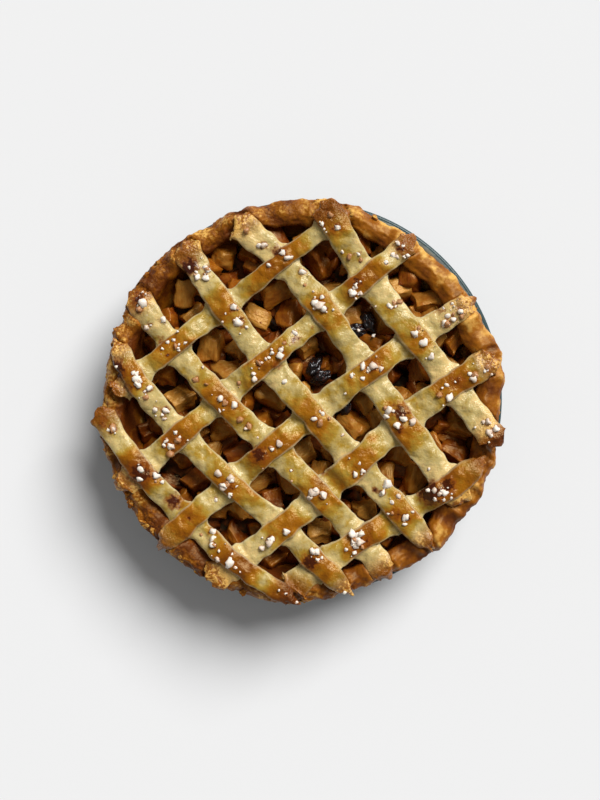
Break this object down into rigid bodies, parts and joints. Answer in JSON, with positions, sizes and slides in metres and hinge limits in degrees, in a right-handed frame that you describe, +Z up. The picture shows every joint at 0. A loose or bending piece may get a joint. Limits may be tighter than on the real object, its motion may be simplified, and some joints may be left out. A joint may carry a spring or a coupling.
{
  "type": "lattice apple pie",
  "caption": "Round apple pie in its glazed dish, with a craggy crust rim, a woven pastry lattice and pearl sugar over pieces of apple and raisins.",
  "frame": {"origin": "middle of the dish's flat base, on the surface that it stands on", "axes": "+Z up; +Y up the page as the pie is looked down on, with six lattice strips running down to the right and five up to the right; +X to the right"},
  "size_m": [0.2623, 0.2593, 0.0598],
  "materials": {
    "glaze": "glazed stoneware, blue-green grey",
    "crust": "baked pastry, golden brown and flaky",
    "lattice": "egg-washed pastry, pale to golden, with white pearl sugar",
    "filling": "glossy cooked apple and dark raisins in syrup"
  },
  "bodies": {
    "root": {"dish": "glaze", "crust": "crust", "filling": "filling", "strip_a1": "lattice", "strip_a2": "lattice", "strip_a3": "lattice", "strip_a4": "lattice", "strip_a5": "lattice", "strip_a6": "lattice", "strip_b1": "lattice", "strip_b2": "lattice", "strip_b3": "lattice", "strip_b4": "lattice", "strip_b5": "lattice"}
  },
  "joints": []
}
